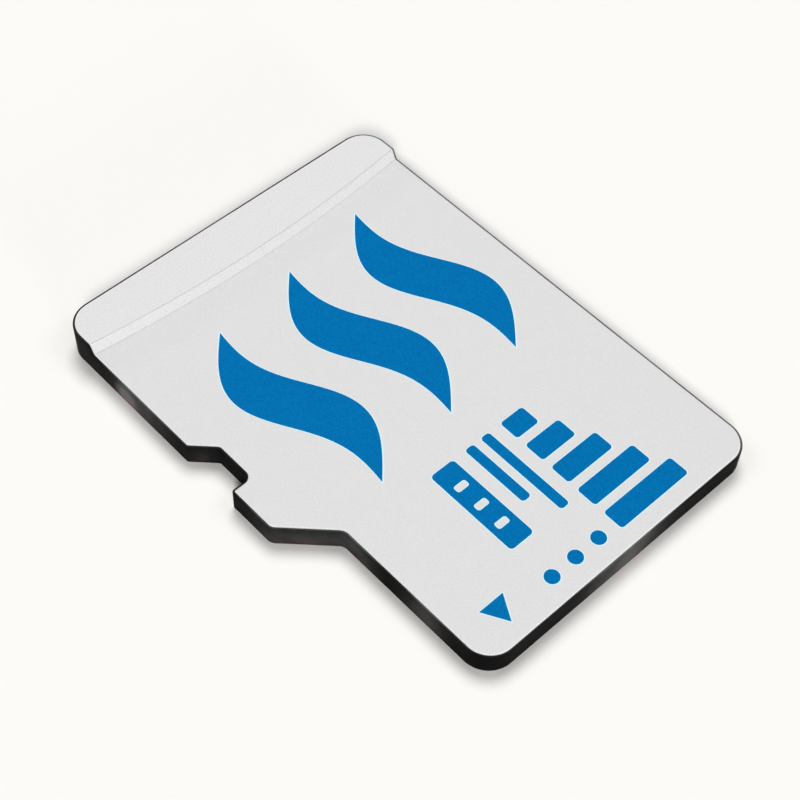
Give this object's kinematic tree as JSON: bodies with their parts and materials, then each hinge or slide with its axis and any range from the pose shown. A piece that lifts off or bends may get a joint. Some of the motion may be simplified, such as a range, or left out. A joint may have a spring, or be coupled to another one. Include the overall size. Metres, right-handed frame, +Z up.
{
  "type": "microsd memory card",
  "caption": "Thin white-topped black memory card with a narrowed nose, latch notch, raised rear lip and gold contacts underneath; slides into a card socket to store data.",
  "frame": {"origin": "middle of the card's footprint, on the underside that carries the contacts", "axes": "+Y towards the nose that goes into the socket first, +X towards the keyed side with the latch notch, +Z up out of the printed face"},
  "size_m": [0.011, 0.015, 0.001],
  "materials": {
    "solder_mask": "black solder mask lacquer, satin",
    "gold_contact": "hard gold plate, smooth",
    "laminate": "black glass-epoxy laminate, sawn edge",
    "silicon": "thinned silicon die",
    "ceramic_chip": "ceramic chip with tinned ends",
    "black_resin": "black moulding resin, satin sawn and ground edge",
    "white_paint": "white paint with a fine grain",
    "blue_ink": "blue printing ink"
  },
  "bodies": {
    "root": {"solder_mask": "solder_mask", "contact_1": "gold_contact", "contact_2": "gold_contact", "contact_3": "gold_contact", "contact_4": "gold_contact", "contact_5": "gold_contact", "contact_6": "gold_contact", "contact_7": "gold_contact", "contact_8": "gold_contact", "board": "laminate", "memory_die_lower": "silicon", "memory_die_upper": "silicon", "controller_die": "silicon", "capacitor_1": "ceramic_chip", "capacitor_2": "ceramic_chip", "capacitor_3": "ceramic_chip", "capacitor_4": "ceramic_chip", "memory_bond_wires": "gold_contact", "controller_bond_wires": "gold_contact", "resin_body": "black_resin", "top_paint": "white_paint", "print_waves": "blue_ink", "print_marks": "blue_ink"}
  },
  "joints": []
}
